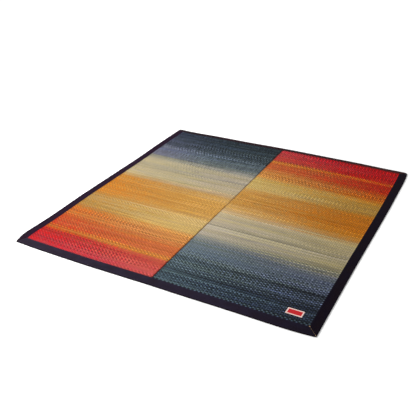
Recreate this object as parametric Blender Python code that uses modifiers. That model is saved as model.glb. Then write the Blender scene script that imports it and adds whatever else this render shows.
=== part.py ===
"""Rush carpet, lying flat.

Two panels of woven rush lie side by side and meet along a centre seam. Four strips of cloth, each
folded round one side of the pair and mitred at both ends, bind them. A small woven label is sewn on
the right panel, near the front right corner.

Every piece is first drawn for a true square of SIDE by SIDE, centred on the origin with the front at
-Y. The function lie() then gives it the carpet's real outline, a few millimetres uneven, so that
neighbours keep their clearance. Heights are never changed by it. Units are metres.
"""

from collections import namedtuple
from math import cos, pi, sin

import bmesh
import bpy
from mathutils import Matrix, Vector

# Driving sizes
SIDE = 1.910  # the finished carpet, out to out
RUSH = 0.0044  # thickness of a woven panel
CLOTH = 0.0009  # thickness of the binding cloth
GAP = 0.0003  # clearance between neighbouring pieces
BINDING_UNDER = 0.0540  # width of each strip's lower half
PANEL_INSET = 0.0030  # from the folded edge to the panel's edge inside it
RAMP = 0.018  # run over which a panel climbs on to the binding's lower half
SELVEDGE_ROUND = 0.0017  # rounding of a panel's edges
LABEL_SIZE = Vector((0.088, 0.046))
LABEL_CENTRE = Vector((0.801, -0.824))
LABEL_THICK = 0.0006

# Width of the binding that shows on each side, in the order of quarter turns from the front. The
# strips were laid by hand, and the back one was drawn further under than the rest.
Strip = namedtuple("Strip", "side width")
STRIPS = [
    Strip("front", 0.060),
    Strip("right", 0.054),
    Strip("back", 0.036),
    Strip("left", 0.055),
]

# Worked out from them
HALF = SIDE / 2
LIFT = CLOTH + GAP  # how high a panel lies over the binding's lower half
TOTAL = RUSH + 2 * LIFT  # the bound edge's full height
FOLD_RADIUS = TOTAL / 2

# How the carpet really lies. "along" runs with the side from its middle, towards +X or +Y, and
# "shift" is how far the side lies outside the true square. The seam's shift is towards +X.
Station = namedtuple("Station", "along shift")
FRONT = [
    Station(-0.955, -0.0055),
    Station(-0.900, -0.0040),
    Station(-0.800, 0.0000),
    Station(-0.600, 0.0030),
    Station(-0.420, 0.0044),
    Station(-0.220, 0.0028),
    Station(0.000, 0.0002),
    Station(0.200, 0.0008),
    Station(0.500, -0.0008),
    Station(0.780, 0.0000),
    Station(0.870, -0.0030),
    Station(0.955, -0.0098),
]
BACK = [
    Station(-0.955, 0.0020),
    Station(-0.925, 0.0044),
    Station(-0.870, -0.0005),
    Station(-0.750, -0.0025),
    Station(-0.580, 0.0006),
    Station(-0.350, -0.0025),
    Station(0.000, 0.0005),
    Station(0.200, -0.0038),
    Station(0.400, -0.0088),
    Station(0.600, -0.0144),
    Station(0.800, -0.0252),
    Station(0.955, -0.0300),
]
LEFT = [
    Station(-0.955, -0.0195),
    Station(-0.920, -0.0092),
    Station(-0.880, 0.0000),
    Station(-0.830, 0.0026),
    Station(-0.740, -0.0014),
    Station(-0.600, -0.0034),
    Station(-0.320, 0.0015),
    Station(0.000, -0.0020),
    Station(0.350, -0.0054),
    Station(0.600, -0.0006),
    Station(0.955, -0.0008),
]
RIGHT = [
    Station(-0.955, 0.0026),
    Station(-0.850, 0.0016),
    Station(-0.600, 0.0003),
    Station(-0.300, -0.0008),
    Station(0.000, 0.0008),
    Station(0.350, 0.0018),
    Station(0.600, -0.0006),
    Station(0.800, -0.0036),
    Station(0.880, -0.0070),
    Station(0.955, -0.0130),
]
SEAM = [
    Station(-0.955, 0.0060),
    Station(-0.450, 0.0025),
    Station(0.000, 0.0010),
    Station(0.450, -0.0010),
    Station(0.955, -0.0060),
]

# Each corner is soft: its tip is drawn in by "pull" along both sides, fading out over "reach".
Corner = namedtuple("Corner", "x_sign y_sign pull reach")
CORNERS = [
    Corner(-1, -1, 0.0012, 0.012),
    Corner(1, -1, 0.0016, 0.014),
    Corner(1, 1, 0.0064, 0.034),
    Corner(-1, 1, 0.0036, 0.024),
]

# Distances in from a corner at which a side has cross lines: close together near the tip.
NEAR_CORNER = [0.0, 0.006, 0.013, 0.022, 0.034, 0.053, 0.080, 0.125, 0.190]
MIDDLE_STEP = 0.118  # the widest step between the others


def shift_at(stations, along):
    """The smooth curve through a side's stations, read at one place."""
    last = len(stations) - 1
    i = 0
    while i < last - 1 and along > stations[i + 1].along:
        i += 1
    here, there = stations[i], stations[i + 1]
    span = there.along - here.along
    before, after = stations[max(i - 1, 0)], stations[min(i + 2, last)]
    slope_here = (there.shift - before.shift) / (there.along - before.along)
    slope_there = (after.shift - here.shift) / (after.along - here.along)
    t = min(max((along - here.along) / span, 0.0), 1.0)
    return (
        (2 * t**3 - 3 * t**2 + 1) * here.shift
        + (t**3 - 2 * t**2 + t) * span * slope_here
        + (3 * t**2 - 2 * t**3) * there.shift
        + (t**3 - t**2) * span * slope_there
    )


def lie(point):
    """Moves a point of the true square to where it is on the carpet as it lies."""
    x, y, z = point
    side = -shift_at(LEFT, y) if x < 0 else shift_at(RIGHT, y)
    out = abs(x) / HALF
    back = (y + HALF) / SIDE
    new_x = x + (1 - out) * shift_at(SEAM, y) + out * side
    new_y = y - (1 - back) * shift_at(FRONT, x) + back * shift_at(BACK, x)
    for corner in CORNERS:
        near_x = 1 - (HALF - corner.x_sign * x) / corner.reach
        near_y = 1 - (HALF - corner.y_sign * y) / corner.reach
        if near_x > 0 and near_y > 0:
            pull = corner.pull * near_x**2 * near_y**2
            new_x -= corner.x_sign * pull
            new_y -= corner.y_sign * pull
    return Vector((new_x, new_y, z))


def lines_along(start, end, near_start, near_end):
    """Places along a side: given distances in from each end, and even steps of MIDDLE_STEP between."""
    low = [start + d for d in near_start]
    high = [end - d for d in reversed(near_end)]
    steps = max(1, round((high[0] - low[-1]) / MIDDLE_STEP))
    step = (high[0] - low[-1]) / steps
    return low + [low[-1] + step * i for i in range(1, steps)] + high


def folded_grid(across, along, place):
    """A grid of faces whose corners go to place(a, b) for each a in across and b in along."""
    bm = bmesh.new()
    bmesh.ops.create_grid(bm, x_segments=len(across) - 1, y_segments=len(along) - 1, size=1)
    for vert in bm.verts:
        i = round((vert.co.x + 1) / 2 * (len(across) - 1))
        j = round((vert.co.y + 1) / 2 * (len(along) - 1))
        vert.co = place(across[i], along[j])
    return bm


def lay(bm):
    """Lays a drawn shape as the carpet lies."""
    for vert in bm.verts:
        vert.co = lie(vert.co)


def made_object(bm, name, material, parent):
    """Makes a shape that lies in place an object in the carpet's collection."""
    mesh = bpy.data.meshes.new(name)
    bm.to_mesh(mesh)
    bm.free()
    mesh.materials.append(material)
    piece = bpy.data.objects.new(name, mesh)
    piece.parent = parent
    parent.users_collection[0].objects.link(piece)
    return piece


def underside(x, y):
    """Height of a panel's underside: on the floor, but over the binding's lower half near an edge."""
    inset = HALF - max(abs(x), abs(y))
    t = (BINDING_UNDER + GAP + RAMP - inset) / RAMP
    t = min(max(t, 0.0), 1.0)
    return LIFT * t * t * (3 - 2 * t)


def make_panel(name, x_sign, material, parent):
    """One panel of woven rush, from the seam out to just inside the folded binding."""
    edge = HALF - PANEL_INSET
    ramp = [BINDING_UNDER + GAP - PANEL_INSET + RAMP * step / 3 for step in range(4)]
    rows = lines_along(-edge, edge, [0.0] + ramp, [0.0] + ramp)
    columns = lines_along(GAP / 2, edge, [0.0], [0.0] + ramp)
    if x_sign < 0:
        columns = [-x for x in reversed(columns)]
    bm = folded_grid(columns, rows, lambda x, y: Vector((x, y, underside(x, y))))
    lay(bm)
    panel = made_object(bm, name, material, parent)
    body = panel.modifiers.new("Thickness", "SOLIDIFY")
    body.thickness = RUSH
    body.offset = 1
    body.use_even_offset = True
    edges = panel.modifiers.new("Selvedges", "BEVEL")
    edges.width = SELVEDGE_ROUND
    edges.segments = 2
    edges.limit_method = "ANGLE"
    edges.angle_limit = pi / 3
    return panel


def binding_section(width):
    """The strip's outer face in section, as (inset, height), from its top hem to its lower hem."""
    top = [(inset, TOTAL) for inset in (width, 0.030, 0.013)]
    turns = 5
    fold = [
        (FOLD_RADIUS * (1 - sin(pi * i / turns)), FOLD_RADIUS * (1 + cos(pi * i / turns)))
        for i in range(turns + 1)
    ]
    under = [(0.020, 0.0), (BINDING_UNDER, 0.0)]
    return top + fold + under


def make_binding(quarter_turns, material, parent):
    """One strip of cloth folded round a side. It is drawn on the front side and turned to its own."""
    before, strip, after = (STRIPS[(quarter_turns + step) % 4] for step in (-1, 0, 1))
    turn = Matrix.Rotation(quarter_turns * pi / 2, 4, "Z")
    bm = folded_grid(
        lines_along(-HALF, HALF, NEAR_CORNER, NEAR_CORNER),
        binding_section(strip.width),
        lambda x, fold: Vector((x, fold[0] - HALF, fold[1])),
    )
    bmesh.ops.recalc_face_normals(bm, faces=bm.faces)
    outside = [face for face in bm.faces if face.calc_center_median().z > TOTAL - CLOTH]
    if outside[0].normal.z < 0:
        bmesh.ops.reverse_faces(bm, faces=bm.faces)
    bmesh.ops.solidify(bm, geom=bm.faces, thickness=CLOTH)
    bmesh.ops.recalc_face_normals(bm, faces=bm.faces)
    bm.transform(turn)
    lay(bm)
    for x_sign, neighbour in ((-1, before), (1, after)):
        # The mitre runs straight from the corner's tip to where the two strips' inner edges meet
        tip = lie(turn @ Vector((x_sign * HALF, -HALF, 0)))
        meeting = lie(turn @ Vector((x_sign * (HALF - neighbour.width), strip.width - HALF, 0)))
        mitre = (meeting - tip).normalized()
        outward = x_sign * Vector((mitre.y, -mitre.x, 0))
        bmesh.ops.bisect_plane(
            bm,
            geom=bm.verts[:] + bm.edges[:] + bm.faces[:],
            plane_co=tip - outward * GAP / 2,
            plane_no=outward,
            clear_outer=True,
        )
        bmesh.ops.holes_fill(bm, edges=[edge for edge in bm.edges if edge.is_boundary])
    return made_object(bm, f"binding_{strip.side}", material, parent)


def make_label(material, parent):
    """The woven label, a thin slip lying on the right panel."""
    low = LABEL_CENTRE - LABEL_SIZE / 2
    high = LABEL_CENTRE + LABEL_SIZE / 2
    columns = lines_along(low.x, high.x, [0.0, 0.022, 0.044], [0.0, 0.022])
    rows = lines_along(low.y, high.y, [0.0, 0.015], [0.0])
    bm = folded_grid(columns, rows, lambda x, y: Vector((x, y, RUSH + GAP)))
    lay(bm)
    label = made_object(bm, "label", material, parent)
    body = label.modifiers.new("Thickness", "SOLIDIFY")
    body.thickness = LABEL_THICK
    body.offset = 1
    return label


def make_material(name, colour, roughness):
    """A plain finish in the piece's own colour."""
    material = bpy.data.materials.new(name)
    material.use_nodes = True
    shader = material.node_tree.nodes["Principled BSDF"]
    shader.inputs["Base Color"].default_value = (*colour, 1)
    shader.inputs["Roughness"].default_value = roughness
    shader.inputs["Metallic"].default_value = 0
    return material


def main():
    for thing in list(bpy.data.objects):
        bpy.data.objects.remove(thing, do_unlink=True)
    collection = bpy.data.collections.new("rush carpet")
    bpy.context.scene.collection.children.link(collection)
    carpet = bpy.data.objects.new("carpet", None)
    collection.objects.link(carpet)

    rush = make_material("dyed rush", (0.52, 0.30, 0.12), 0.55)
    cloth = make_material("binding cloth", (0.016, 0.013, 0.022), 0.85)
    woven = make_material("label weave", (0.62, 0.06, 0.07), 0.80)

    make_panel("panel_left", -1, rush, carpet)
    make_panel("panel_right", 1, rush, carpet)
    for quarter_turns in range(len(STRIPS)):
        make_binding(quarter_turns, cloth, carpet)
    make_label(woven, carpet)


main()
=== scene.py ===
"""Looks of the rush carpet: its woven panels, cloth binding, seam, stitching and label.

Lengths are in metres. Every piece is first drawn for a true square of SIDE by SIDE, centred on the
origin with the front at -Y, as the solids were. The function lie() then gives it the carpet's own
outline, a few millimetres uneven.

Both panels come off one loom length, whose dye runs from near black to crimson. The left one lies
with its dark end at the back, and the right one is turned half round, so its dark end is in front.
"""

from collections import namedtuple
from math import cos, pi, radians, sin

import bmesh
import bpy
from mathutils import Matrix, Vector, noise


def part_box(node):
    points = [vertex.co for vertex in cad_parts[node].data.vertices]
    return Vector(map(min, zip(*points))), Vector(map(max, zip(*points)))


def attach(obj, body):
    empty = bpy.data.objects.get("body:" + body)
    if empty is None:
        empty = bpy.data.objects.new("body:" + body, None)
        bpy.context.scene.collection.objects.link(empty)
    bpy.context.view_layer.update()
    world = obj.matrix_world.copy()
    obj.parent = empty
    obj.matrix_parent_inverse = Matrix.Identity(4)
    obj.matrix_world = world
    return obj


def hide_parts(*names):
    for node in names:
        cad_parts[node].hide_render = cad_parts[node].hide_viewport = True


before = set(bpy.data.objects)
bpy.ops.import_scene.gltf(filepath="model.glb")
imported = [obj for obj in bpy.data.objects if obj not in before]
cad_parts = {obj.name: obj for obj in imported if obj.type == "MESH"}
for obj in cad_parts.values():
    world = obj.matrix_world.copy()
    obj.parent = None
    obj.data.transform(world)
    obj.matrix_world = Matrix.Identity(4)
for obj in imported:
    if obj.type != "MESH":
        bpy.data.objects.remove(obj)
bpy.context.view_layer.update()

# The carpet's driving sizes, as its solids have them
SIDE = 1.910
RUSH = 0.0044  # thickness of a woven panel
CLOTH = 0.0009  # room that the solids leave for the binding cloth
GAP = 0.0003
BINDING_TOP = {"front": 0.060, "right": 0.054, "back": 0.036, "left": 0.055}  # width that shows
BINDING_UNDER = 0.0540  # width of each strip's lower half
PANEL_INSET = 0.0030
RAMP = 0.018  # run over which a panel climbs on to the binding's lower half
HALF = SIDE / 2
SIDES = ("front", "right", "back", "left")  # each a quarter turn on from the one before
LIFT = CLOTH + GAP
TOTAL = RUSH + 2 * LIFT

# The weave
COLUMN = 0.01235  # from one warp cord to the next
ROW = 0.0093  # four rushes, which go over and under a cord together
STEM = ROW / 4  # one rush
RELIEF = 0.00060  # height of a puff of rushes over the cords beside it
WOVEN = HALF - 0.0525  # from the middle to where a panel's rows and columns are counted from
SELVEDGE = 0.0055  # a panel's woven edge rounds down over this width
SELVEDGE_DROP = 0.0026

# The binding cloth
CLOTH_THICK = 0.00050
HEM = 0.0095  # width of the cloth turned under along its inner edge
HEM_THICK = 2 * CLOTH_THICK + 0.00004
STITCH_MARGIN = 0.0034  # from the hemmed edge to the line of machine stitches
FOLD_RADIUS = TOTAL / 2
CLOTH_THREAD = 0.00062  # one thread of its plain weave

# The label, and the pale border woven round its field
LABEL_LENGTH = 0.088
LABEL_WIDTH = 0.046
LABEL_BORDER = 0.0070

# How the carpet really lies. "along" runs with the side from its middle, towards +X or +Y, and
# "shift" is how far the side lies outside the true square. The seam's shift is towards +X.
Station = namedtuple("Station", "along shift")


def stations(*pairs):
    return [Station(*pair) for pair in pairs]


FRONT = stations(
    (-0.955, -0.0055), (-0.900, -0.0040), (-0.800, 0.0000), (-0.600, 0.0030), (-0.420, 0.0044),
    (-0.220, 0.0028), (0.000, 0.0002), (0.200, 0.0008), (0.500, -0.0008), (0.780, 0.0000),
    (0.870, -0.0030), (0.955, -0.0098),
)
BACK = stations(
    (-0.955, 0.0020), (-0.925, 0.0044), (-0.870, -0.0005), (-0.750, -0.0025), (-0.580, 0.0006),
    (-0.350, -0.0025), (0.000, 0.0005), (0.200, -0.0038), (0.400, -0.0088), (0.600, -0.0144),
    (0.800, -0.0252), (0.955, -0.0300),
)
LEFT = stations(
    (-0.955, -0.0195), (-0.920, -0.0092), (-0.880, 0.0000), (-0.830, 0.0026), (-0.740, -0.0014),
    (-0.600, -0.0034), (-0.320, 0.0015), (0.000, -0.0020), (0.350, -0.0054), (0.600, -0.0006),
    (0.955, -0.0008),
)
RIGHT = stations(
    (-0.955, 0.0026), (-0.850, 0.0016), (-0.600, 0.0003), (-0.300, -0.0008), (0.000, 0.0008),
    (0.350, 0.0018), (0.600, -0.0006), (0.800, -0.0036), (0.880, -0.0070), (0.955, -0.0130),
)
SEAM = stations(
    (-0.955, 0.0060), (-0.450, 0.0025), (0.000, 0.0010), (0.450, -0.0010), (0.955, -0.0060)
)

# Each corner is soft: its tip is drawn in by "pull" along both sides, fading out over "reach".
Corner = namedtuple("Corner", "x_sign y_sign pull reach")
CORNERS = [
    Corner(-1, -1, 0.0012, 0.012),
    Corner(1, -1, 0.0016, 0.014),
    Corner(1, 1, 0.0064, 0.034),
    Corner(-1, 1, 0.0036, 0.024),
]


def shift_at(stations, along):
    """The smooth curve through a side's stations, read at one place."""
    last = len(stations) - 1
    i = 0
    while i < last - 1 and along > stations[i + 1].along:
        i += 1
    here, there = stations[i], stations[i + 1]
    span = there.along - here.along
    before, after = stations[max(i - 1, 0)], stations[min(i + 2, last)]
    slope_here = (there.shift - before.shift) / (there.along - before.along)
    slope_there = (after.shift - here.shift) / (after.along - here.along)
    t = min(max((along - here.along) / span, 0.0), 1.0)
    return (
        (2 * t**3 - 3 * t**2 + 1) * here.shift
        + (t**3 - 2 * t**2 + t) * span * slope_here
        + (3 * t**2 - 2 * t**3) * there.shift
        + (t**3 - t**2) * span * slope_there
    )


def lie(point):
    """Moves a point of the true square to where it is on the carpet as it lies."""
    x, y, z = point
    side = -shift_at(LEFT, y) if x < 0 else shift_at(RIGHT, y)
    out = abs(x) / HALF
    back = (y + HALF) / SIDE
    new_x = x + (1 - out) * shift_at(SEAM, y) + out * side
    new_y = y - (1 - back) * shift_at(FRONT, x) + back * shift_at(BACK, x)
    for corner in CORNERS:
        near_x = 1 - (HALF - corner.x_sign * x) / corner.reach
        near_y = 1 - (HALF - corner.y_sign * y) / corner.reach
        if near_x > 0 and near_y > 0:
            pull = corner.pull * near_x**2 * near_y**2
            new_x -= corner.x_sign * pull
            new_y -= corner.y_sign * pull
    return Vector((new_x, new_y, z))


def mitre_ends(x_sign, y_sign):
    """A mitre as it lies: the corner's tip, and where the two strips' inner edges meet."""
    side = BINDING_TOP["right" if x_sign > 0 else "left"]
    end = BINDING_TOP["back" if y_sign > 0 else "front"]
    tip = Vector((x_sign * HALF, y_sign * HALF, 0))
    meeting = Vector((x_sign * (HALF - side), y_sign * (HALF - end), 0))
    return lie(tip), lie(meeting)


def new_object(name, data):
    made = bpy.data.objects.new(name, data)
    bpy.context.scene.collection.objects.link(made)
    return made


# ---- camera


def make_camera():
    """Standing height, off the front right corner, tilted a little."""
    camera = new_object("camera", bpy.data.cameras.new("camera"))
    camera.location = (1.6125, -2.9948, 1.9143)
    aim = Vector((-0.0344, -0.0711, 0)) - camera.location
    level = aim.to_track_quat("-Z", "Y").to_matrix()
    roll = Matrix.Rotation(radians(-2.03), 3, "Z")
    camera.rotation_euler = (level @ roll).to_euler()
    camera.data.lens = 51.75
    camera.data.shift_x = -0.024
    camera.data.clip_start = 0.05
    camera.data.clip_end = 200
    bpy.context.scene.camera = camera


# ---- shader helpers


def placing(operation):
    """A method of a Value that places one math node."""

    def place(self, *others):
        return self.sketch.math(operation, self, *others)

    return place


class Value:
    """A number, colour or place that changes over the surface. Sums with it place math nodes."""

    __add__ = __radd__ = placing("ADD")
    __sub__ = placing("SUBTRACT")
    __mul__ = __rmul__ = placing("MULTIPLY")
    __truediv__ = placing("DIVIDE")
    __abs__ = placing("ABSOLUTE")
    floor = placing("FLOOR")
    fract = placing("FRACT")
    sine = placing("SINE")
    at_least = placing("MAXIMUM")
    at_most = placing("MINIMUM")
    above = placing("GREATER_THAN")  # 1 above the limit, and 0 up to it

    def __init__(self, sketch, socket):
        self.sketch = sketch
        self.socket = socket

    def __rsub__(self, other):
        return self.sketch.math("SUBTRACT", other, self)

    def parity(self):
        """1 where a whole number is even, and -1 where it is odd."""
        return 1.0 - 2.0 * self.sketch.math("PINGPONG", self, 1.0)


class Sketch:
    """Places nodes in a tree and links them, so that a recipe reads as its sums."""

    def __init__(self, tree):
        self.tree = tree

    def node(self, kind, **settings):
        made = self.tree.nodes.new(kind)
        for name, value in settings.items():
            setattr(made, name, value)
        return made

    def feed(self, socket, value):
        if isinstance(value, Value):
            self.tree.links.new(value.socket, socket)
        else:
            socket.default_value = value

    def values(self, node):
        """A node's outputs by name."""
        return {socket.name: Value(self, socket) for socket in node.outputs}

    def first(self, node):
        return Value(self, node.outputs[0])

    def math(self, operation, *values):
        made = self.node("ShaderNodeMath", operation=operation)
        for socket, value in zip(made.inputs, values):
            self.feed(socket, value)
        return self.first(made)

    def point(self, x=0.0, y=0.0, z=0.0):
        made = self.node("ShaderNodeCombineXYZ")
        for socket, value in zip(made.inputs, (x, y, z)):
            self.feed(socket, value)
        return self.first(made)

    def parts(self, place):
        made = self.node("ShaderNodeSeparateXYZ")
        self.feed(made.inputs[0], place)
        return list(self.values(made).values())

    def on_carpet(self):
        """The place, in metres from the middle of the carpet on the floor."""
        return self.values(self.node("ShaderNodeTexCoord"))["Object"]

    def on_map(self, name):
        """Across and along a piece's own map."""
        return self.parts(self.first(self.node("ShaderNodeUVMap", uv_map=name)))[:2]

    def noise(self, place, scale=1.0, detail=2.0):
        """Soft noise about 0, mostly within 0.3 either way."""
        made = self.node("ShaderNodeTexNoise")
        for name, value in (("Vector", place), ("Scale", scale), ("Detail", detail)):
            self.feed(made.inputs[name], value)
        return self.first(made) - 0.5

    def chance(self, place):
        """A random number from 0 to 1 for each whole place."""
        made = self.node("ShaderNodeTexWhiteNoise", noise_dimensions="3D")
        self.feed(made.inputs["Vector"], place)
        return self.first(made)

    def ramp(self, position, stops, interpolation="LINEAR"):
        """A colour ramp from (position, colour) stops; a plain number stands for a grey."""
        made = self.node("ShaderNodeValToRGB")
        made.color_ramp.interpolation = interpolation
        elements = made.color_ramp.elements
        while len(elements) < len(stops):
            elements.new(0.5)
        for element, (place, colour) in zip(elements, stops):
            element.position = place
            element.color = four(colour)
        self.feed(made.inputs["Fac"], position)
        return self.first(made)

    def mix(self, share, first, second, blend="MIX"):
        made = self.node("ShaderNodeMix", data_type="RGBA", blend_type=blend)
        self.feed(made.inputs[0], share)
        self.feed(made.inputs[6], four(first))
        self.feed(made.inputs[7], four(second))
        return Value(self, made.outputs[2])

    def tinted(self, colour, share, tint, other=(1.0, 1.0, 1.0)):
        """The colour times a tint, which comes in over another one, or over none, by share."""
        return self.mix(1.0, colour, self.mix(share, other, tint), "MULTIPLY")

    def brighten(self, colour, factor):
        """The colour times a factor that changes over the surface."""
        made = self.node("ShaderNodeVectorMath", operation="SCALE")
        self.feed(made.inputs[0], colour)
        self.feed(made.inputs["Scale"], factor)
        return self.first(made)

    def bump(self, height, distance, strength):
        made = self.node("ShaderNodeBump")
        for name, value in (("Height", height), ("Distance", distance), ("Strength", strength)):
            self.feed(made.inputs[name], value)
        return self.first(made)

    def shared(self, effect, **inputs):
        """Places a shared effect, with its named inputs fed, and gives its outputs by name."""
        made = self.node("ShaderNodeGroup", node_tree=effect)
        for name, value in inputs.items():
            self.feed(made.inputs[name], four(value) if isinstance(value, tuple) else value)
        return self.values(made)

    def dress(self, shader, colour, **others):
        """Feeds what changes over the surface to a Principled shader."""
        self.feed(shader.inputs["Base Color"], colour)
        for name, value in others.items():
            self.feed(shader.inputs[name], value)


def four(colour):
    """A colour, or a plain number for a grey, with its alpha. A value is left as it is."""
    if isinstance(colour, Value):
        return colour
    if isinstance(colour, tuple):
        return (*colour, 1)
    return (colour, colour, colour, 1)


def new_material(name, **sockets):
    """A material with its Principled shader's constant sockets set, and a sketch of its tree."""
    material = bpy.data.materials.new(name)
    material.use_nodes = True
    shader = material.node_tree.nodes["Principled BSDF"]
    for socket, value in sockets.items():
        shader.inputs[socket.replace("_", " ")].default_value = value
    return material, shader, Sketch(material.node_tree)


def new_effect(name, inputs, outputs):
    """A node group for an effect that several materials share: its tree, sketch and two ends."""
    tree = bpy.data.node_groups.new(name, "ShaderNodeTree")
    for in_out, sockets in (("INPUT", inputs), ("OUTPUT", outputs)):
        for label, kind in sockets.items():
            tree.interface.new_socket(label, in_out=in_out, socket_type=f"NodeSocket{kind}")
    s = Sketch(tree)
    return tree, s, s.values(s.node("NodeGroupInput")), s.node("NodeGroupOutput").inputs


def make_unevenness():
    """Soft blotches or lint: Value is about 0, and Tone is about 1 and strays from it by Amount."""
    inputs = {"Place": "Vector", "Fineness": "Float", "Amount": "Float"}
    tree, s, given, result = new_effect("unevenness", inputs, {"Value": "Float", "Tone": "Float"})
    value = s.noise(given["Place"], given["Fineness"], 3.0)
    s.feed(result["Value"], value)
    s.feed(result["Tone"], value * given["Amount"] + 1.0)
    return tree


def make_plain_weave():
    """Threads over and under each other. Height is 1 on a warp thread's crown, and -1 on a weft's."""
    inputs = {"Across": "Float", "Along": "Float", "Warp": "Float", "Weft": "Float"}
    tree, s, given, result = new_effect("plain_weave", inputs, {"Height": "Float", "Hole": "Float"})
    warp = (given["Across"] * pi / given["Warp"]).sine()
    weft = (given["Along"] * pi / given["Weft"]).sine()
    s.feed(result["Height"], warp * weft)
    s.feed(result["Hole"], 1.0 - abs(warp * weft))
    return tree


def make_twist(unevenness):
    """Thread of twisted plies: slanting turns of Pitch, from Dark, a painted shade between plies, to
    Light on them.
    """
    inputs = {"Place": "Vector", "Pitch": "Float", "Light": "Color", "Dark": "Color"}
    tree, s, given, result = new_effect("twist", inputs, {"Colour": "Color", "Height": "Float"})
    x, y, z = s.parts(given["Place"])
    height = ((x + y + z * 2.0) * (2 * pi) / given["Pitch"]).sine()
    fuzz = s.shared(unevenness, Place=given["Place"], Fineness=900.0, Amount=0.8)["Tone"]
    share = height * 0.3 + (fuzz - 0.5)
    s.feed(result["Colour"], s.mix(share, given["Dark"], given["Light"]))
    s.feed(result["Height"], height)
    return tree


# ---- dyed rush

# The dyes, in the order in which they come from the dark end of the loom length to the red one
INK = (0.022, 0.034, 0.046)
MIDNIGHT = (0.034, 0.048, 0.061)
DUSK = (0.036, 0.051, 0.064)
STEEL = (0.070, 0.092, 0.113)
SLATE = (0.063, 0.084, 0.105)
FLINT = (0.084, 0.103, 0.114)
PEWTER = (0.122, 0.134, 0.131)
STONE = (0.150, 0.155, 0.135)
PUTTY = (0.195, 0.195, 0.153)
SAND = (0.250, 0.231, 0.164)
STRAW = (0.277, 0.246, 0.160)
REED = (0.262, 0.233, 0.154)
MOLE = (0.232, 0.209, 0.147)
BARLEY = (0.303, 0.260, 0.157)
MAIZE = (0.326, 0.268, 0.146)
APRICOT = (0.331, 0.232, 0.110)
AMBER = (0.334, 0.199, 0.076)
HONEY = (0.345, 0.183, 0.047)
SAFFRON = (0.335, 0.154, 0.028)
GOLD = (0.345, 0.190, 0.050)
WHEAT = (0.342, 0.219, 0.073)
CANE = (0.326, 0.199, 0.056)
MARIGOLD = (0.333, 0.154, 0.033)
TANGERINE = (0.334, 0.111, 0.023)
RUSSET = (0.325, 0.072, 0.013)
BRICK = (0.320, 0.054, 0.011)
OCHRE = (0.340, 0.105, 0.012)
CRIMSON = (0.315, 0.019, 0.018)
CARMINE = (0.320, 0.027, 0.030)
SCARLET = (0.315, 0.014, 0.022)

# The dyes along the loom length, each at its place in millimetres from the binding at the dark
# end. Between two places the dye of one shades into the next.
DARK_HALF = [
    (0, INK), (110, INK), (175, MIDNIGHT), (235, DUSK), (255, DUSK), (288, STEEL), (320, SLATE),
    (362, STEEL), (400, FLINT), (425, FLINT), (447, PEWTER), (468, STONE), (488, PUTTY), (508, SAND),
    (538, STRAW), (565, REED), (600, REED), (617, MOLE), (632, MOLE), (655, STRAW), (685, BARLEY),
    (745, BARLEY), (780, MAIZE), (806, APRICOT), (832, AMBER), (855, HONEY), (895, HONEY),
]
BRIGHT_HALF = [
    (895, HONEY), (925, SAFFRON), (1105, SAFFRON), (1146, GOLD), (1180, WHEAT), (1235, WHEAT),
    (1275, CANE), (1305, CANE), (1342, MARIGOLD), (1372, TANGERINE), (1445, TANGERINE),
    (1475, RUSSET), (1505, BRICK), (1588, BRICK), (1606, OCHRE), (1630, OCHRE), (1652, CRIMSON),
    (1705, CRIMSON), (1742, CARMINE), (1790, SCARLET),
]
MIDDLE = 895  # where the bright half of the length starts
LOOM_LENGTH = 1804  # millimetres of a panel that show between the bindings
ROWS = round(LOOM_LENGTH / 1000 / ROW)

# How strongly the check shows along the loom length, the two shuttles' rushes with painted shade on
# the sunk cells, and how far the tones of whole rows stray
CHECK = [
    (0, 0.55), (255, 0.50), (290, 0.425), (330, 0.25), (400, 0.19), (455, 0.17), (520, 0.10),
    (640, 0.09), (680, 0.08), (870, 0.13), (1100, 0.14), (1300, 0.13), (1370, 0.275), (1450, 0.26),
    (1500, 0.21), (1590, 0.21), (1615, 0.375), (1660, 0.29), (1804, 0.31),
]
STREAKS = [
    (0, 0.75), (255, 0.75), (290, 0.85), (330, 0.75), (400, 0.65), (455, 0.45), (640, 0.45),
    (680, 0.225), (870, 0.25), (1100, 0.15), (1300, 0.15), (1370, 0.40), (1450, 0.30),
    (1500, 0.20), (1615, 0.20), (1660, 0.45), (1804, 0.45),
]

# Rows that stand out in one panel, by their number from the dark end: how much paler or, below 0,
# darker each is than those around it
LEFT_PICKS = {
    6: -0.20, 9: 0.18, 31: 0.16, 45: 0.14, 57: 0.12, 66: -0.18, 97: 0.12, 121: -0.14,
    123: 0.14, 152: 0.18, 153: -0.16, 155: 0.20, 175: 0.18, 178: -0.16, 190: 0.14,
}
RIGHT_PICKS = {
    8: -0.30, 9: 0.45, 12: -0.20, 15: 0.35, 17: -0.30, 20: 0.35, 25: -0.12, 27: -0.12,
    33: 0.40, 34: -0.15, 37: -0.18, 38: 0.25, 47: -0.12, 65: 0.28, 67: -0.26,
}

# How much paler or, below 0, darker than its dye each panel is, at places along the loom length
LEFT_LIFTS = [
    (180, 0.0), (205, -0.10), (295, -0.10), (330, 0.0), (465, 0.0), (482, 0.07), (505, 0.05),
    (530, 0.0),
]
RIGHT_LIFTS = [
    (0, 0.20), (45, 0.20), (60, 0.13), (115, 0.13), (135, -0.08), (190, -0.08), (215, 0.0),
    (290, 0.0), (312, 0.10), (340, 0.10), (365, 0.03), (395, 0.0), (410, -0.15), (435, -0.15),
    (455, -0.09), (500, -0.12), (530, -0.05), (560, 0.0), (640, 0.0), (665, -0.10), (740, -0.09),
    (765, -0.03), (800, 0.0), (1260, 0.0), (1285, 0.08), (1330, 0.06), (1355, 0.0),
]


def same(colour):
    return colour


def strength_of(colour):
    """From 0 for a pale warm dye to 1 for a strong one."""
    return min(max((0.15 - colour[2]) / 0.10, 0.0), 1.0)


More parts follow.
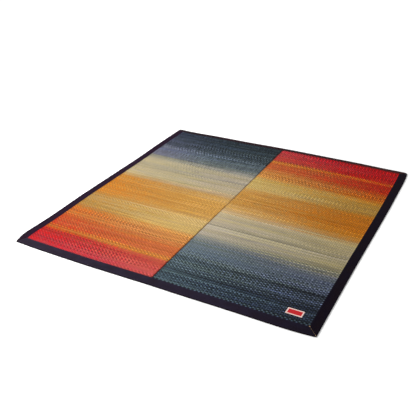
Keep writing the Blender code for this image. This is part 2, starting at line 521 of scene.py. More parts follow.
def at_seam(colour):
    """A dye near the seam: paler, and a strong warm one softer. The paleness is painted sheen along
    the middle of the carpet.
    """
    red, green, blue = colour
    if blue > red:
        return (1.10 * red + 0.004, 1.08 * green + 0.008, blue + 0.008)
    strength = strength_of(colour)
    red *= 1.13 + 0.10 * strength
    green += 0.09 * green + strength * (0.13 * green + 0.031)
    blue += 0.19 * blue + strength * (0.25 * blue + 0.009)
    return (red, green, blue)


def at_outer_edge(colour):
    """A dye near the outer edge, under less painted sheen: a cool one violet, and a strong warm one
    deeper.
    """
    red, green, blue = colour
    if blue > red:
        return (1.14 * red - 0.005, 1.06 * green - 0.006, 1.25 * blue - 0.008)
    strength = strength_of(colour)
    red *= 1.03 - 0.03 * strength
    green -= 0.02 * green + 0.042 * strength
    blue -= 0.12 * blue + strength * (0.35 * blue + 0.008)
    return (red, max(green, 0.002), max(blue, 0.001))


class Rushwork:
    """Where a place is in a panel's weave. The map "weave" gives metres from the seam, below 0 on
    the left panel, and metres along the loom length from its dark end."""

    def __init__(self, s):
        self.s = s
        self.side, self.along = s.on_map("weave")
        self.across = abs(self.side)
        self.width = self.across / WOVEN  # from 0 at the seam to 1 at the outer edge
        self.forward = self.along / (2 * WOVEN)  # from 0 at the dark end to 1 at the red one
        self.on_right = self.side.above(0.0)
        self.on_left = 1.0 - self.on_right
        self.back = self.by_panel(1.0 - self.forward, self.forward)  # 0 at the front, 1 behind

        self.column, self.stem = self.side / COLUMN, self.along / STEM
        self.column_number, self.stem_number = self.column.floor(), self.stem.floor()
        self.row_number = (self.along / ROW).floor()
        self.raised = (self.column_number + self.row_number).parity()  # 1 on a puff, -1 beside it
        self.cell = s.chance(s.point(self.column_number, self.row_number, 3.0))
        self.fray = s.chance(s.point(self.stem_number, (self.side * 4.0).floor()))

        # Each rush takes up the dye by its own stretch of the length, so that the bands feather
        stretch = self.along + 0.040 * self.run(0.45, 0.37, 0.0, self.stem_number)
        stretch += 0.110 * self.run(1.60, 1.37, 4.0, self.row_number)
        stretch += 0.022 * (self.fray - 0.5) + 0.008 * self.raised
        self.dyed_at = stretch / (LOOM_LENGTH / 1000)

    def run(self, length, step, seed, number):
        """Noise that runs on for about a length of rush, and differs from one number to the next."""
        return self.s.noise(self.s.point(self.side / length, number * step, seed))

    def by_panel(self, left, right):
        return self.s.mix(self.on_right, left, right)

    def by_dye(self, *stops):
        """What goes with the dye's place, from 0 at the dark end to 1."""
        return self.s.ramp(self.dyed_at, stops)

    def by_loom(self, table, shade=same):
        """The same from a table in millimetres."""
        return self.by_dye(*[(at / LOOM_LENGTH, shade(given)) for at, given in table])

    def dyes_across(self, dyes, out):
        """The dyes, shaded from the seam, where out is 0, to the outer edge, where it is 1."""
        seam, middle, edge = (self.by_loom(dyes, shade) for shade in (at_seam, same, at_outer_edge))
        inner_half = self.s.mix(out * 2.0, seam, middle)
        return self.s.mix(out * 2.0 - 1.0, inner_half, edge)

    def picked(self, picks):
        """The gain of the row's pick, or 0. A ramp holds no less than 0, so it is drawn 0.5 up."""
        steps = [(0.0, 0.5)]
        for row, gain in picks.items():
            if steps[-1][0] == row / ROWS:
                steps.pop()
            steps += [(row / ROWS, 0.5 + gain), ((row + 1) / ROWS, 0.5)]
        return self.s.ramp((self.row_number + 0.5) / ROWS, steps, "CONSTANT") - 0.5

    def lifted(self, lifts):
        """The gain of a panel's lifts at each place."""
        steps = [(at / LOOM_LENGTH, 0.5 + gain) for at, gain in lifts]
        return self.s.ramp(self.along / (LOOM_LENGTH / 1000), steps) - 0.5


def rush_colour(w):
    """The dye, paler towards the seam and deeper towards the outer edge: painted sheen, strongest
    along the middle of the carpet.
    """
    out = w.width + 1.3 * w.run(0.90, 0.91, 11.0, w.row_number) + 0.5 * (w.cell - 0.5)
    left_depth = -1.0 * w.by_dye((0.78, 0.13), (0.83, 0.32), (0.87, 0.32), (0.895, 0.10))
    right_depth = w.by_dye(
        (0.66, 0.20), (0.72, 0.15), (0.76, 0.0), (0.82, 0.02), (0.86, 0.17), (0.92, 0.28)
    )
    dark = w.dyes_across(DARK_HALF, out)
    bright = w.dyes_across(BRIGHT_HALF, out + w.by_panel(left_depth, right_depth))
    colour = w.s.mix(w.dyed_at.above(MIDDLE / LOOM_LENGTH), dark, bright)
    hue = 1.6 * w.run(0.60, 0.77, 13.0, w.row_number) + 0.5
    colour = w.s.tinted(colour, hue, (0.97, 0.98, 1.34), (1.05, 1.02, 0.66))

    # Towards its outer edge the left panel's cool end is warmer, and the right one's orange deeper.
    # The right one's straw is greener all across
    outer_part = (w.width - 0.5).at_least(0.0)
    cool = w.by_dye((0.23, 1.0), (0.26, 0.0)) * w.on_left * outer_part
    colour = w.s.tinted(colour, cool, (1.42, 1.10, 1.10))
    orange = w.by_dye(
        (0.475, 0.0), (0.50, 1.0), (0.63, 1.0), (0.65, 0.0), (0.72, 0.0), (0.74, 0.9), (0.92, 0.7)
    )
    orange = (orange * w.on_right * outer_part * 2.6).at_most(1.0)
    colour = w.s.tinted(colour, orange, (1.0, 0.95, 0.50))
    straw = w.by_dye((0.62, 0.0), (0.66, 1.0), (0.78, 1.0), (0.81, 0.0)) * w.on_right
    return w.s.tinted(colour, straw, (1.02, 1.07, 0.98))


def check_contrast(w):
    """How strongly the check shows: on each panel by the dye, and by how far back it is."""
    left_loose = w.s.ramp(w.back, [(0.0, 0.32), (0.30, 0.40), (0.50, 0.60)])
    right_loose = w.s.ramp(w.back, [(0.0, 0.53), (0.35, 0.50), (0.50, 0.62), (1.0, 0.72)])
    left_tight = 2.2 * (1.0 - w.width) * w.forward + 3.4
    return w.by_loom(CHECK) * w.by_panel(left_loose, right_loose) * w.by_panel(left_tight, 4.0)


def check_tone(w, contrast):
    """The check of puffs and sunk cells, partly the two shuttles' rushes and partly painted light:
    puffs paler and sunk cells darker. It is stronger in some rows than in others and, at the left
    panel's cool end, now and then the other way about, with cells that stand out."""
    mood = 6.5 * w.run(1.20, 1.71, 9.0, w.row_number)
    warm_end = w.by_dye((0.62, 0.0), (0.72, 1.0))
    left_mood = (0.40 * warm_end + mood + 0.38).at_least(1.8 * warm_end - 1.8)
    right_mood = (0.77 * mood + 0.40 * w.width + 0.50).at_least(0.12)
    # Puffs paler and sunk cells darker: painted light and shade over the weave
    check = w.raised * w.by_panel(left_mood, right_mood)

    # At the dark end of the right panel every other row is paler
    dark_end = w.by_dye((0.0, 0.34), (0.10, 0.30), (0.14, 0.0)) * w.on_right
    check += w.row_number.parity() * dark_end
    check += 0.25 * (3.0 * w.cell * w.cell - 1.0)
    check += 1.3 * w.s.noise(w.s.point(w.side / 0.022, w.along / 0.024))

    # Behind, the rushes bunch a few rows at a time between two cords
    bunch = (((w.column_number * 0.5).fract() + w.along) / 0.030).floor()
    dash = w.s.chance(w.s.point(w.column_number, bunch, 6.0)) - 0.5
    dash_depth = w.s.ramp(w.back, [(0.35, 0.0), (0.60, 0.30), (0.80, 0.60), (1.0, 0.75)])
    bunched = w.by_dye((0.25, 1.0), (0.28, 0.30), (0.50, 0.35), (0.60, 0.20))
    return contrast * check + dash * dash_depth * bunched


def streak_tone(w):
    """Whole rows paler or darker, then softer streaks, down to a rush or two."""
    whole_row = w.run(2.50, 1.37, 7.0, w.row_number) + w.run(2.50, 0.47, 17.0, w.row_number)
    tone = 1.6 * whole_row * w.by_loom(STREAKS) + 1.0
    red_rows = w.by_dye((0.80, 0.0), (0.88, 0.9)) * w.on_left
    tone += w.run(1.60, 0.57, 19.0, w.row_number) * red_rows

    # The right panel's cool end is paler at the seam, and the left one's at its outer edge: both
    # panels paler on their left, painted light that falls off to the right
    cool = w.by_dye(
        (0.025, 1.5), (0.045, 1.0), (0.13, 1.0), (0.17, 0.55), (0.24, 0.40), (0.30, 0.25),
        (0.45, 0.20), (0.50, 0.0),
    )
    tone += w.by_panel(0.35 * w.width - 0.40, 0.35 - 0.75 * w.width) * cool
    tone += w.by_panel(w.picked(LEFT_PICKS), w.picked(RIGHT_PICKS))
    tone += w.by_panel(w.lifted(LEFT_LIFTS), w.lifted(RIGHT_LIFTS))
    wheat = w.by_dye((0.625, 0.0), (0.65, 0.38), (0.725, 0.38), (0.745, 0.0))
    tone -= wheat * (w.width - 0.42).at_least(0.0)
    for length, step, seed, strength, number in (
        (0.90, 0.23, 6.0, 0.40, w.row_number),
        (0.50, 0.61, 5.0, 0.40, w.row_number),
        (0.30, 1.37, 2.0, 0.45, w.row_number),
        (0.15, 0.61, 8.0, 0.45, w.stem_number),
    ):
        tone += w.run(length, step, seed, number) * strength
    return tone


# Painted shade in the dips: darker at each warp cord, and between one rush and the next
def dip_shade(w, contrast):
    cord_shade = w.s.ramp(abs(w.column.fract() - 0.5), [(0.12, 1.0), (0.50, 0.20)]) - 0.80
    share = (1.2 * contrast + 0.12).at_most(1.2)
    between = w.s.ramp(abs(w.stem.fract() - 0.5), [(0.30, 1.0), (0.50, 0.70)])
    return (cord_shade * share + 1.0) * between


def selvedge_shade(w):
    """Painted shade where a panel rounds down into the seam, deepest towards the carpet's ends."""
    at = w.across / (2 * SELVEDGE)
    in_middle = w.s.ramp(at, [(0.10, 0.55), (0.45, 0.80), (0.80, 1.0)])
    at_ends = w.s.ramp(at, [(0.10, 0.15), (0.45, 0.45), (0.80, 1.0)])
    middle = w.s.ramp(w.forward, [(0.10, 0.0), (0.38, 1.0), (0.62, 1.0), (0.90, 0.0)])
    return w.s.mix(middle, at_ends, in_middle)


def make_rush_material():
    """Dyed rush, woven over warp cords."""
    material, shader, s = new_material("dyed_rush", Specular_IOR_Level=0.05)
    w = Rushwork(s)
    contrast = check_contrast(w)
    tone = (check_tone(w, contrast) + 1.14) * streak_tone(w) * dip_shade(w, contrast)
    tone = tone.at_least(0.10) * selvedge_shade(w)
    fibre = s.noise(s.point(w.side * 60.0, w.along * 2400.0))
    height = 0.35 * fibre + (w.stem.fract() * pi).sine()
    s.dress(
        shader,
        s.brighten(rush_colour(w), tone),
        Roughness=0.16 * w.fray + 0.44,
        Normal=s.bump(height, 0.0005, 0.8),
    )
    return material


# ---- panels


def lines_between(low, high, count):
    """Evenly spaced places from low up to, and without, high."""
    return [low + (high - low) * i / count for i in range(count)]


def under_panel(x, y):
    """Height of a panel's underside: on the floor, but over the binding's lower half at an edge."""
    inset = HALF - max(abs(x), abs(y))
    t = (BINDING_UNDER + GAP + RAMP - inset) / RAMP
    t = min(max(t, 0.0), 1.0)
    return LIFT * t * t * (3 - 2 * t)


def puff(side, along):
    """Height of the weave over its lowest place: rushes crowned between cords, over and under."""
    column, over_column = divmod(side / COLUMN + 1e-6, 1)
    row, over_row = divmod(along / ROW + 1e-6, 1)
    raised = 1 if (column + row) % 2 == 0 else -1
    uneven = 1 + 0.5 * noise.noise(Vector((column * 0.71, row * 0.63, 0.5)))
    return RELIEF * sin(pi * over_column) * (1 + 0.6 * raised * sin(pi * over_row)) * uneven


def under_cloth(x, y):
    """Whether a place on a panel lies under a strip's upper half, or right beside its hem."""
    side = BINDING_TOP["right" if x > 0 else "left"]
    end = BINDING_TOP["back" if y > 0 else "front"]
    room = 0.0012
    return HALF - abs(x) < side + room or HALF - abs(y) < end + room


def panel_lines(outer):
    """Where a panel's mesh has its lines: three to a column, and two to a row. They are metres
    across from the seam, and metres along from the dark end."""
    columns = round(WOVEN / COLUMN)
    far_column = columns * COLUMN
    first_row, last_row = -2, round(2 * WOVEN / ROW) + 2
    across = [0.0, 0.0012, 0.0025]  # the selvedge's curve
    across += lines_between(COLUMN / 3, far_column, 3 * columns - 1)
    across += [far_column, far_column + 0.018, outer - GAP / 2]
    along = [WOVEN - outer]
    along += lines_between(first_row * ROW, last_row * ROW, 2 * (last_row - first_row))
    along += [last_row * ROW, WOVEN + outer]
    return across, along


def make_panel(name, x_sign, material):
    """One panel of woven rush: a relief of puffs on top, and a plain back."""
    outer = HALF - PANEL_INSET  # from the middle to its edges
    across, along = panel_lines(outer)
    pressed = 0.3 * RELIEF  # height of the rushes where the binding holds them flat
    base = RUSH - 1.3 * RELIEF
    bm = bmesh.new()
    weave = bm.loops.layers.uv.new("weave")
    bmesh.ops.create_grid(bm, x_segments=len(across) - 1, y_segments=len(along) - 1, size=1)
    for vert in bm.verts:
        i = round((vert.co.x + 1) / 2 * (len(across) - 1))
        j = round((vert.co.y + 1) / 2 * (len(along) - 1))
        vert.co = (across[i], along[j], 0)
    for face in bm.faces:
        for loop in face.loops:
            loop[weave].uv = (x_sign * loop.vert.co.x, loop.vert.co.y)
    for vert in bm.verts:
        from_seam, from_end = vert.co.xy
        x, y = x_sign * (from_seam + GAP / 2), x_sign * (from_end - WOVEN)
        height = pressed if under_cloth(x, y) else puff(x_sign * from_seam, from_end)
        height -= SELVEDGE_DROP * max(0.0, 1 - from_seam / SELVEDGE) ** 2
        vert.co = (x, y, under_panel(x, y) + base + height)
    close_underneath(bm, weave, x_sign, outer)
    lay(bm)
    return placed(bm, name, material)


def open_edges(bm):
    return [edge for edge in bm.edges if edge.is_boundary]


def close(bm):
    """Fills what is open in a shape, and faces it outwards. Stitches are whole as they are drawn."""
    bmesh.ops.holes_fill(bm, edges=open_edges(bm))
    bmesh.ops.recalc_face_normals(bm, faces=bm.faces)


def close_underneath(bm, weave, x_sign, outer):
    """Walls down from the top's rim, then in under the ramp, and one flat face on the floor."""
    inset = BINDING_UNDER + GAP - PANEL_INSET
    rings = [(0.0, LIFT), (inset, LIFT), (inset + RAMP / 2, LIFT / 2), (inset + RAMP, 0.0)]
    rim = open_edges(bm)
    for step, height in rings:
        made = bmesh.ops.extrude_edge_only(bm, edges=rim)["geom"]
        rim = [part for part in made if isinstance(part, bmesh.types.BMEdge) and part.is_boundary]
        far = outer - step
        for vert in {vert for edge in rim for vert in edge.verts}:
            vert.co.x = x_sign * min(abs(vert.co.x), far)
            vert.co.y = min(max(vert.co.y, -far), far)
            vert.co.z = height
    bmesh.ops.remove_doubles(bm, verts=bm.verts, dist=1e-6)
    close(bm)
    for face in bm.faces:
        if face.calc_center_median().z < RUSH / 2:
            for loop in face.loops:
                x, y = loop.vert.co.xy
                loop[weave].uv = (x - x_sign * GAP / 2, x_sign * y + WOVEN)


def lay(bm):
    """Lays a drawn shape as the carpet lies."""
    for vert in bm.verts:
        vert.co = lie(vert.co)


def placed(bm, name, material):
    """Makes a piece of the carpet out of a shape that lies in its place."""
    mesh = bpy.data.meshes.new(name)
    bm.to_mesh(mesh)
    bm.free()
    for face in mesh.polygons:
        face.use_smooth = True
    mesh.materials.append(material)
    piece = new_object(name, mesh)
    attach(piece, "root")
    return piece


# ---- binding


def strip_section(inner):
    """The cloth's outer face in section, from its upper hem round to its lower one, as (inset, z)."""
    top, hem, stitches = TOTAL, TOTAL - HEM_THICK, inner - STITCH_MARGIN
    upper_hem = [
        (inner - HEM, hem),
        (inner - 0.0010, hem),
        (inner - 0.0002, hem + 0.3 * HEM_THICK),
        (inner, hem + 0.6 * HEM_THICK),
        (inner - 0.0004, top - 0.1 * HEM_THICK),
        (inner - 0.0014, top),
    ]
    groove = [
        (stitches + 0.0010, top),
        (stitches, top - 0.00030),
        (stitches - 0.0010, top),
        (inner - 0.8 * HEM, top + 0.00003),
        (inner - HEM + 0.0003, top),
        (inner - HEM - 0.0012, top - 0.00022),
    ]
    swell = inner - HEM - 0.009
    field = [(0.009 + swell * i / 5, top - 0.00025) for i in (4, 3, 2, 1, 0)]
    turns = 9
    fold = [
        (FOLD_RADIUS * (1 - sin(pi * i / turns)), FOLD_RADIUS * (1 + cos(pi * i / turns)))
        for i in range(turns + 1)
    ]
    outer = BINDING_UNDER
    lower_hem = [
        (0.014, 0.0),
        (0.034, 0.0),
        (outer - 0.0006, 0.0),
        (outer, 0.4 * HEM_THICK),
        (outer - 0.0004, HEM_THICK),
        (outer - 0.0080, HEM_THICK),
    ]
    return upper_hem + groove + field + fold + lower_hem


def slack(along, inset, z, stitches):
    """The cloth isn't quite taut: small puckers at the stitches and soft swells between them."""
    calm = min(1.0, (HALF - abs(along)) / 0.07)
    if z < TOTAL / 2:
        return 0.0, 0.0
    near_hem = max(0.0, 1 - abs(inset - stitches) / 0.012)
    pucker = noise.noise(Vector((along / 0.009, 3.0, inset / 0.02)))
    swell = noise.noise(Vector((along / 0.055, 9.0, inset / 0.03)))
    drift = noise.noise(Vector((along / 0.040, 5.0, 0.0)))
    lift = calm * (0.00016 * near_hem * pucker + 0.00024 * swell)
    return calm * 0.0005 * near_hem * drift, lift


def fold_strip(width):
    """A strip of cloth folded round the front side, which shows this wide on top."""
    section = strip_section(width)
    stitches = width - STITCH_MARGIN
    steps = round(SIDE / 0.006)
    bm = bmesh.new()
    bmesh.ops.create_grid(bm, x_segments=steps, y_segments=len(section) - 1, size=1)
    for vert in bm.verts:
        along = vert.co.x * HALF
        inset, z = section[round((vert.co.y + 1) / 2 * (len(section) - 1))]
        drift, lift = slack(along, inset, z, stitches)
        vert.co = (along, inset + drift - HALF, z + lift)
    bmesh.ops.recalc_face_normals(bm, faces=bm.faces)
    top = next(face for face in bm.faces if 0.02 < face.calc_center_median().y + HALF < 0.03)
    looks_up = top.normal.z > 0
    on_top = top.calc_center_median().z > TOTAL / 2
    if looks_up != on_top:
        bmesh.ops.reverse_faces(bm, faces=bm.faces)
    bmesh.ops.solidify(bm, geom=bm.faces, thickness=CLOTH_THICK)
    return bm


def quarter(turns):
    """Turns a shape from the front side round to another one."""
    return Matrix.Rotation(turns * pi / 2, 4, "Z")


def make_binding(side, quarter_turns, material):
    """One strip of cloth folded round a side, hemmed at both edges and mitred at both ends."""
    bm = fold_strip(BINDING_TOP[side])
    turn = quarter(quarter_turns)
    bm.transform(turn)
    lay(bm)
    mitre_gap = 0.00005
    for x_sign in (-1, 1):
        corner = turn @ Vector((x_sign, -1, 0))
        tip, meeting = mitre_ends(corner.x, corner.y)
        mitre = (meeting - tip).normalized()
        outward = x_sign * Vector((mitre.y, -mitre.x, 0))
        bmesh.ops.bisect_plane(
            bm,
            geom=bm.verts[:] + bm.edges[:] + bm.faces[:],
            plane_co=tip - outward * mitre_gap,
            plane_no=outward,
            clear_outer=True,
        )
        close(bm)
    return placed(bm, f"cloth_{side}", material)


# How each strip is coloured, from its end on the left to the one on the right: near black, with
# painted light that makes the front strip navy towards the left and the left strip paler than the
# right one. The back strip shades to russet towards the right.
CLOTHS = {
    "front": [
        (0.0, (0.0215, 0.0160, 0.0300)),
        (0.72, (0.0155, 0.0112, 0.0250)),
        (1.0, (0.0065, 0.0045, 0.0130)),
    ],
    "right": [(0.0, (0.0030, 0.0010, 0.0060)), (1.0, (0.0030, 0.0010, 0.0060))],
    "back": [
        (0.0, (0.0170, 0.0095, 0.0150)),
        (0.5, (0.0280, 0.0105, 0.0140)),
        (1.0, (0.0520, 0.0140, 0.0130)),
    ],
    "left": [(0.0, (0.0125, 0.0042, 0.0150)), (1.0, (0.0125, 0.0042, 0.0150))],
}
# Painted shade on the fold round the carpet's edge: darker and warmer than the top
FOLD_SHADE = (0.0075, 0.0020, 0.0015)  # the fold round the carpet's edge is a warmer black


def make_cloth_material(side, plain_weave, unevenness):
    """Plain-woven cotton, near black, in a copy for each side that carries that side's painted light.
    """
    material, shader, s = new_material(
        f"{side}_cloth", Specular_IOR_Level=0.03, Sheen_Weight=0.02, Sheen_Roughness=0.5
    )
    at = s.on_carpet()
    x, y, z = s.parts(at)
    weave = s.shared(plain_weave, Across=x, Along=y + z, Warp=CLOTH_THREAD, Weft=CLOTH_THREAD)
    cloud = s.shared(unevenness, Place=at, Fineness=9.0, Amount=0.5)
    lint = s.shared(unevenness, Place=at, Fineness=420.0, Amount=0.7)
    height = z / TOTAL
    # Below the top, the fold takes the painted shade colour
    shaded_fold = s.ramp(height, [(0.88, 0.9), (0.985, 0.0)])
    colour = s.mix(shaded_fold, s.ramp(0.52 * x + 0.5, CLOTHS[side]), FOLD_SHADE)
    # Painted shade in the dips between the cloth's threads
    tone = (1.12 - 0.35 * weave["Hole"]) * lint["Tone"] * cloud["Tone"]
    # Painted shade: the cloth darkens further towards the floor
    tone *= s.ramp(height, [(0.10, 0.35), (0.60, 1.0)])
    s.dress(
        shader,
        s.brighten(colour, tone),
        Roughness=0.2 * lint["Value"] + 0.85,
        Normal=s.bump(0.6 * lint["Value"] + weave["Height"], 0.0002, 0.7),
    )
    return material


# ---- thread


def make_bead():
    """A rounded bead of thread, one unit in radius, that every stitch is a copy of."""
    bm = bmesh.new()
    bmesh.ops.create_uvsphere(bm, u_segments=6, v_segments=4, radius=1)
    bead = bpy.data.meshes.new("bead")
    bm.to_mesh(bead)
    bm.free()
    return bead


def add_stitch(bm, bead, middle, direction, length, thickness):
    """One stitch: the bead drawn out along its direction."""
    turn = Vector(direction).to_track_quat("X", "Z").to_matrix().to_4x4()
    size = Matrix.Diagonal((length / 2, thickness / 2, thickness / 2, 1))
    stitch = bead.copy()
    stitch.transform(Matrix.Translation(Vector(middle)) @ turn @ size)
    bm.from_mesh(stitch)
    bpy.data.meshes.remove(stitch)


# The colours of the sewing threads, on their plies and, as painted shade, between them
THREADS = {
    "navy": ((0.030, 0.022, 0.028), (0.010, 0.008, 0.013)),
    "tan": ((0.40, 0.27, 0.15), (0.22, 0.14, 0.08)),
    "brown": ((0.125, 0.085, 0.050), (0.060, 0.038, 0.022)),
    "cream": ((0.72, 0.62, 0.56), (0.50, 0.40, 0.36)),
}


def make_thread_material(name, twist):
    """Twisted sewing thread, lighter on its plies."""
    light, dark = THREADS[name]
    material, shader, s = new_material(f"{name}_thread", Specular_IOR_Level=0.15, Roughness=0.65)
    thread = s.shared(twist, Place=s.on_carpet(), Pitch=0.0011, Light=light, Dark=dark)
    s.dress(shader, thread["Colour"], Normal=s.bump(thread["Height"], 0.0001, 0.6))
    return material


def make_binding_stitches(side, quarter_turns, bead, material):
    """The row of machine stitches that holds a strip down, just in from its hemmed edge."""
    bm = bmesh.new()
    pitch, length, thickness, sunk = 0.0048, 0.0036, 0.00055, 0.00014
    stitches = BINDING_TOP[side] - STITCH_MARGIN
    before, after = (BINDING_TOP[SIDES[(quarter_turns + step) % 4]] for step in (-1, 1))
    for along in middles_of_steps(before - HALF, HALF - after, pitch):
        drift, lift = slack(along, stitches, TOTAL, stitches)
        middle = (along, stitches + drift - HALF, TOTAL - sunk + lift)
        add_stitch(bm, bead, middle, (1, 0.06, 0), length, thickness)
    bm.transform(quarter(quarter_turns))
    lay(bm)
    return placed(bm, f"stitches_{side}", material)


def middles_of_steps(start, end, pitch):
    """The middles of even steps of about pitch, from start to end."""
    count = round((end - start) / pitch)
    return [start + (end - start) * (i + 0.5) / count for i in range(count)]


# How a corner's mitre is sewn: the thickness of the slip stitches along it, and the width of the
# bar tack at its inner end and of the one at its tip
Mitre = namedtuple("Mitre", "name x_sign y_sign thread slip inner_tack tip_tack")
MITRES = [
    # The front right mitre's thread is a paler tan, partly painted highlight where its ridge catches
    # the light
    Mitre("mitre_front_right", 1, -1, "tan", 0.00115, 0.0100, 0.0060),
    Mitre("mitre_front_left", -1, -1, "brown", 0.00055, 0.0040, 0.0090),
    Mitre("mitre_back_right", 1, 1, "brown", 0.00055, 0.0040, 0.0060),
    Mitre("mitre_back_left", -1, 1, "brown", 0.00055, 0.0040, 0.0070),
]


def make_mitre_stitches(mitre, bead, material):
    """Slip stitches that close a mitre, and a bar tack over each end of them."""
    bm = bmesh.new()
    tip, meeting = mitre_ends(mitre.x_sign, mitre.y_sign)
    outward = (tip - meeting).normalized()
    cross = Vector((-outward.y, outward.x, 0))
    top = Vector((0, 0, TOTAL))
    start, end = meeting + 0.0014 * outward, tip - 0.0042 * outward
    slips, slip_length = 13, 0.0046
    for i in range(slips):
        middle = start.lerp(end, i / (slips - 1)) + top
        add_stitch(bm, bead, middle, outward + 0.35 * cross, slip_length, mitre.slip)
    bar_thick = 0.0010
    bar_top = top + Vector((0, 0, 0.0001))
    inner_tack = start + 0.0007 * outward
    tip_tack = end - 0.0014 * outward
    for tack, width in ((inner_tack, mitre.inner_tack), (tip_tack, mitre.tip_tack)):
        for i in range(-3, 4):
            middle = tack + i * bar_thick * outward + bar_top
            add_stitch(bm, bead, middle, cross, width * (1 - 0.06 * abs(i)), bar_thick)
    return placed(bm, mitre.name, material)


def make_seam_material(unevenness):
    """Rush ends bound over a cord, coloured as the painted shade of the seam's groove: warm brown in
    the middle of the carpet, and dark towards both ends.
    """
    material, shader, s = new_material("seam_thread", Roughness=0.8, Specular_IOR_Level=0.1)
    at = s.on_carpet()
    along = s.parts(at)[1]
    dark, brown, tan = (0.030, 0.018, 0.020), (0.120, 0.060, 0.035), (0.260, 0.135, 0.055)
    steps = [(0.08, dark), (0.28, brown), (0.40, tan), (0.68, tan), (0.80, brown), (0.90, dark)]
    tone = s.shared(unevenness, Place=at, Fineness=160.0, Amount=1.6)["Tone"]
    s.dress(shader, s.brighten(s.ramp(0.5 * along + 0.5, steps), tone))
    return material


def make_seam(bead, material):
    """The two panels' selvedges drawn together: a sunk cord with slanting stitches over it."""
    bm = bmesh.new()
    radius, pitch, length, thickness = 0.0012, 0.0080, 0.0064, 0.0009
    cord_height, stitch_height = RUSH - 0.0026, RUSH - 0.0016
    tucked = 0.004  # length of each end that goes in under the cloth
    start = BINDING_TOP["front"] - tucked - HALF
    end = HALF - BINDING_TOP["back"] + tucked
    middle = Matrix.Translation((0, (start + end) / 2, cord_height))
    bmesh.ops.create_cone(
        bm,
        cap_ends=True,
        segments=8,
        radius1=radius,
        radius2=radius,
        depth=end - start,
        matrix=middle @ Matrix.Rotation(pi / 2, 4, "X"),
    )
    long_edges = [edge for edge in bm.edges if edge.calc_length() > 1]
    bmesh.ops.subdivide_edges(bm, edges=long_edges, cuts=120)
    for along in middles_of_steps(start, end, pitch):
        add_stitch(bm, bead, (0, along, stitch_height), (1, 0.55, 0), length, thickness)
    for vert in bm.verts:
        vert.co.z += under_panel(0, vert.co.y)
    lay(bm)
    return placed(bm, "seam_thread", material)


# ---- label


def make_label_slip(low, high, material):
    """A woven slip with a pale selvedge all round. It bears no marks."""
    size, middle = high - low, (low + high) / 2
    bm = bmesh.new()
    bmesh.ops.create_grid(bm, x_segments=36, y_segments=20, size=1)
    bmesh.ops.scale(bm, vec=(size.x / 2, size.y / 2, 1), verts=bm.verts)
    slip = bm.loops.layers.uv.new("slip")
    for face in bm.faces:
        for loop in face.loops:
            loop[slip].uv = loop.vert.co.xy
    for vert in bm.verts:
        x, y = vert.co.xy
        edge = min(size.x / 2 - abs(x), size.y / 2 - abs(y))
        crown = 0.00012 * noise.noise(Vector((x / 0.016, y / 0.016, 2.0)))
        tuck = 0.00018 * max(0.0, 1 - edge / 0.0022) ** 2
        vert.co.z = 0.9 * size.z + crown - tuck
    made = bmesh.ops.extrude_edge_only(bm, edges=open_edges(bm))["geom"]
    for vert in made:
        if isinstance(vert, bmesh.types.BMVert):
            vert.co.z = 0.0
    close(bm)
    bm.transform(Matrix.Translation((middle.x, middle.y, low.z)))
    return placed(bm, "label_slip", material)


def make_label_stitches(low, high, bead, material):
    """The stitches that sew the label down, just in from its edge."""
    size, middle = high - low, (low + high) / 2
    inset, pitch, length, thickness = 0.0022, 0.0034, 0.0024, 0.00045
    reach_x, reach_y = size.x / 2 - inset, size.y / 2 - inset
    origin = Vector((middle.x, middle.y, low.z + 0.95 * size.z))
    bm = bmesh.new()
    for edge_sign in (-1, 1):
        for x in middles_of_steps(-reach_x, reach_x, pitch):
            spot = origin + Vector((x, edge_sign * reach_y, 0))
            add_stitch(bm, bead, spot, (1, 0, 0), length, thickness)
        for y in middles_of_steps(-reach_y, reach_y, pitch):
            spot = origin + Vector((edge_sign * reach_x, y, 0))
            add_stitch(bm, bead, spot, (0, 1, 0), length, thickness)
    return placed(bm, "label_stitches", material)


def make_label_material(plain_weave, unevenness):
    """Woven label: a deep red field, and a pale edge where a little red shows through."""
    material, shader, s = new_material("label_weave", Specular_IOR_Level=0.12)
    x, y = s.on_map("slip")
    at = s.point(x, y)
    wobble = s.shared(unevenness, Place=at, Fineness=160.0, Amount=0.0)["Value"]
    from_side = (LABEL_LENGTH / 2 - LABEL_BORDER) - abs(x)
    from_end = (LABEL_WIDTH / 2 - LABEL_BORDER) - abs(y)
    inside = 0.0012 * wobble + from_side.at_most(from_end)
    field = s.ramp(400.0 * inside + 0.5, [(0.1, 0.0), (0.9, 1.0)])
    colour = s.mix(field, (0.70, 0.52, 0.47), (0.44, 0.010, 0.014))
    weave = s.shared(plain_weave, Across=x, Along=y, Warp=0.00045, Weft=0.00035)
    cloud = s.shared(unevenness, Place=at, Fineness=90.0, Amount=0.25)
    s.dress(
        shader,
        s.brighten(colour, (0.08 * weave["Height"] + 1.0) * cloud["Tone"]),
        Roughness=0.3 * cloud["Value"] + 0.62,
        Normal=s.bump(weave["Height"], 0.00015, 0.7),
    )
    return material


# ---- floor and light


def make_floor(unevenness):
    """A plain pale floor, wide enough to fill every view."""
    bm = bmesh.new()
    bmesh.ops.create_grid(bm, x_segments=1, y_segments=1, size=60)
    mesh = bpy.data.meshes.new("floor")
    bm.to_mesh(mesh)
    bm.free()
    material, shader, s = new_material("pale_floor", Roughness=0.9, Specular_IOR_Level=0.0)
    patchy = s.shared(unevenness, Place=s.on_carpet(), Fineness=3.0, Amount=0.01)
    s.dress(shader, patchy["Tone"] * 0.96)
    mesh.materials.append(material)
    floor = new_object("floor", mesh)


def make_light(name, place, aim, size, power):
    """A soft square lamp at a place, turned towards aim."""
    lamp = bpy.data.lights.new(name, "AREA")
    lamp.shape = "SQUARE"
    lamp.size = size
    lamp.energy = power
    holder = new_object(name, lamp)
    holder.location = place
    holder.rotation_euler = (Vector(aim) - Vector(place)).to_track_quat("-Z", "Y").to_euler()


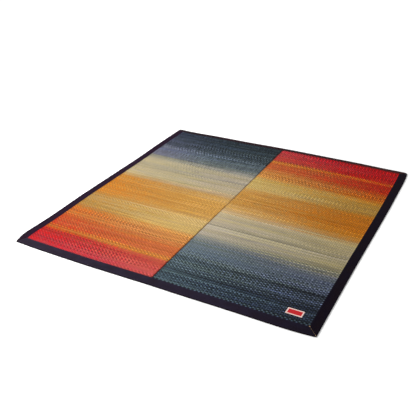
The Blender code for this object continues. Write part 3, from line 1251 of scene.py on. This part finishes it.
def make_studio():
    """Soft light from behind on the left, which fades to the right, in an even pale room. The
    washes face away from the carpet and light only the floor round it."""
    make_light("key", (-2.2, -0.4, 2.6), (-0.3, 0.0, 0.0), 1.6, 136)
    make_light("wash_back", (0.3, 1.7, 3.4), (0.9, 6.6, 2.7), 1.6, 420)
    make_light("wash_left", (-1.7, 0.6, 3.4), (-6.2, 2.6, 2.7), 1.6, 520)
    make_light("wash_right", (1.7, 0.0, 2.6), (6.5, -1.0, 1.9), 1.6, 160)
    world = bpy.data.worlds.new("room")
    world.use_nodes = True
    background = world.node_tree.nodes["Background"]
    background.inputs["Color"].default_value = (1, 1, 1, 1)
    background.inputs["Strength"].default_value = 0.66
    bpy.context.scene.world = world
    bpy.context.scene.view_settings.view_transform = "Standard"


# ---- making


def make_panels(rush_material, seam_material, bead):
    for name, x_sign in (("left", -1), ("right", 1)):
        panel = make_panel(f"rush_{name}", x_sign, rush_material)
        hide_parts(f"panel_{name}")
    make_seam(bead, seam_material)


def make_bindings(plain_weave, unevenness, thread, bead):
    for quarter_turns, side in enumerate(SIDES):
        strip = make_binding(side, quarter_turns, make_cloth_material(side, plain_weave, unevenness))
        stitches = make_binding_stitches(side, quarter_turns, bead, thread)
        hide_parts(f"binding_{side}")


def make_label(plain_weave, unevenness, thread, bead):
    low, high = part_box("label")
    slip = make_label_slip(low, high, make_label_material(plain_weave, unevenness))
    stitches = make_label_stitches(low, high, bead, thread)
    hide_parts("label")


def make_carpet(unevenness):
    plain_weave, twist = make_plain_weave(), make_twist(unevenness)
    bead = make_bead()
    threads = {name: make_thread_material(name, twist) for name in THREADS}
    make_panels(make_rush_material(), make_seam_material(unevenness), bead)
    make_bindings(plain_weave, unevenness, threads["navy"], bead)
    for mitre in MITRES:
        make_mitre_stitches(mitre, bead, threads[mitre.thread])
    make_label(plain_weave, unevenness, threads["cream"], bead)
    bpy.data.meshes.remove(bead)


make_camera()
unevenness = make_unevenness()
make_carpet(unevenness)
make_floor(unevenness)
make_studio()
